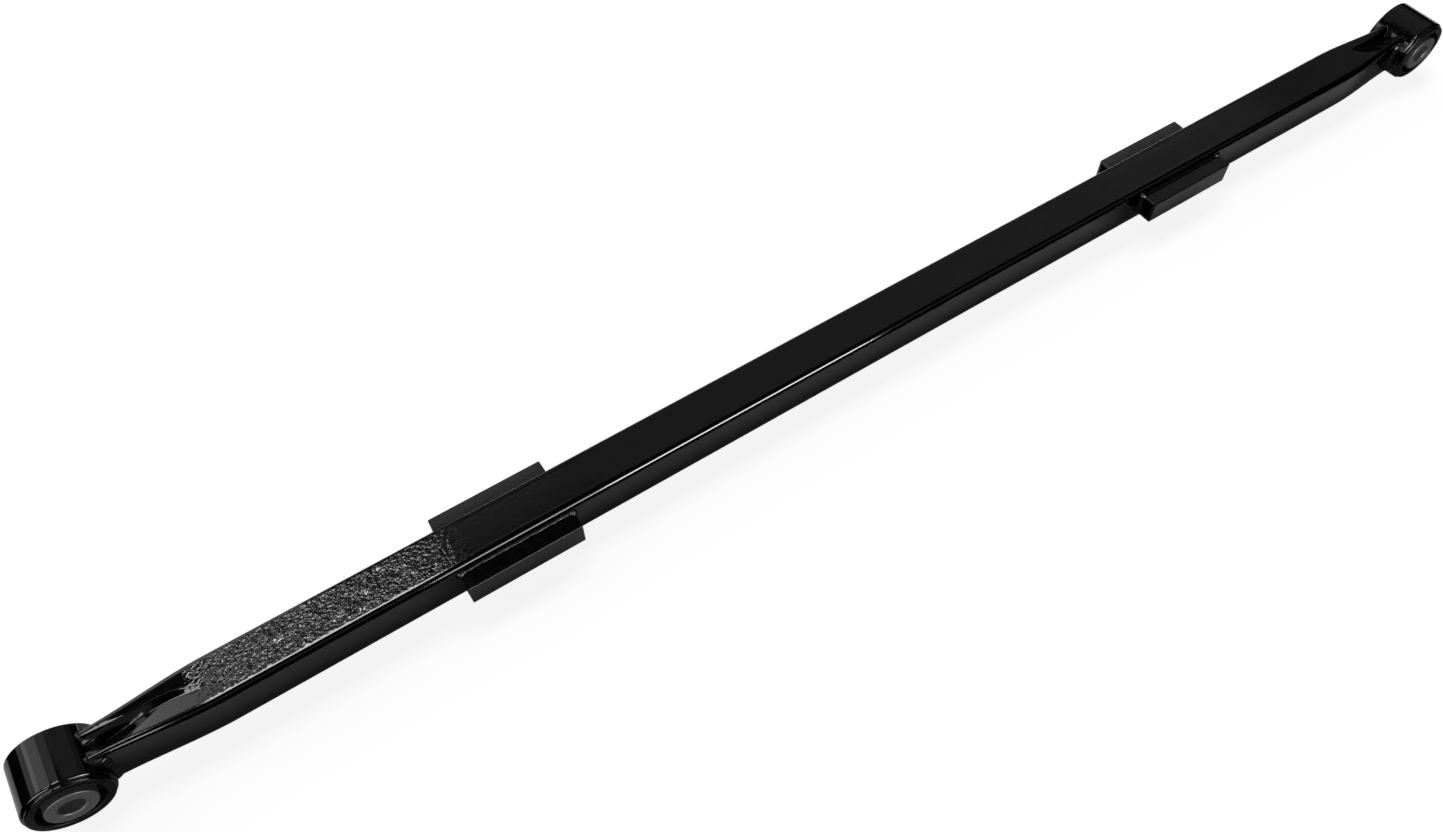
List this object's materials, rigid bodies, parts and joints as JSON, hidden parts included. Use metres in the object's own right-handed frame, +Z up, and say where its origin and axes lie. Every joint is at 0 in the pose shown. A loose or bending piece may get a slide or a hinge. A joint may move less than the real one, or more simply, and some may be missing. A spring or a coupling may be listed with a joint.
{
  "type": "suspension link",
  "caption": "Straight rectangular-tube suspension link with a rubber bush in an eye at each end and short hollow lugs welded to its sides.",
  "frame": {"origin": "midway between the two bush axes, on the line through both bush centres", "axes": "+X along the link from the left eye to the right eye, +Y along the bush axes away from the flanged bush faces, +Z up"},
  "size_m": [1.18, 0.0582, 0.05],
  "materials": {
    "paint": "gloss black",
    "weld": "gloss black over weld ripples",
    "shell": "satin black",
    "rubber": "moulded, satin",
    "sleeve": "turned and phosphated, dull grey"
  },
  "bodies": {
    "link": {"beam_tube": "paint", "eye_left": "paint", "eye_right": "paint", "eye_weld_left": "weld", "eye_weld_right": "weld", "bush_shell_left": "shell", "bush_shell_right": "shell", "bush_rubber_left": "rubber", "bush_rubber_right": "rubber", "lug_front_left": "paint", "lug_rear_left": "paint", "lug_front_right": "paint", "lug_rear_right": "paint", "lug_weld_front_left": "weld", "lug_weld_rear_left": "weld", "lug_weld_front_right": "weld", "lug_weld_rear_right": "weld"},
    "sleeve_left": {"bush_sleeve_left": "sleeve"},
    "sleeve_right": {"bush_sleeve_right": "sleeve"}
  },
  "joints": [
    {"name": "sleeve_twist_left", "type": "hinge", "parent": "link", "child": "sleeve_left", "pos_m": [-0.565, 0, 0], "axis": [0, 1, 0], "range_deg": [-20, 20], "stiffness_Nm_per_rad": 60},
    {"name": "sleeve_twist_right", "type": "hinge", "parent": "link", "child": "sleeve_right", "pos_m": [0.565, 0, 0], "axis": [0, 1, 0], "range_deg": [-20, 20], "stiffness_Nm_per_rad": 60}
  ]
}
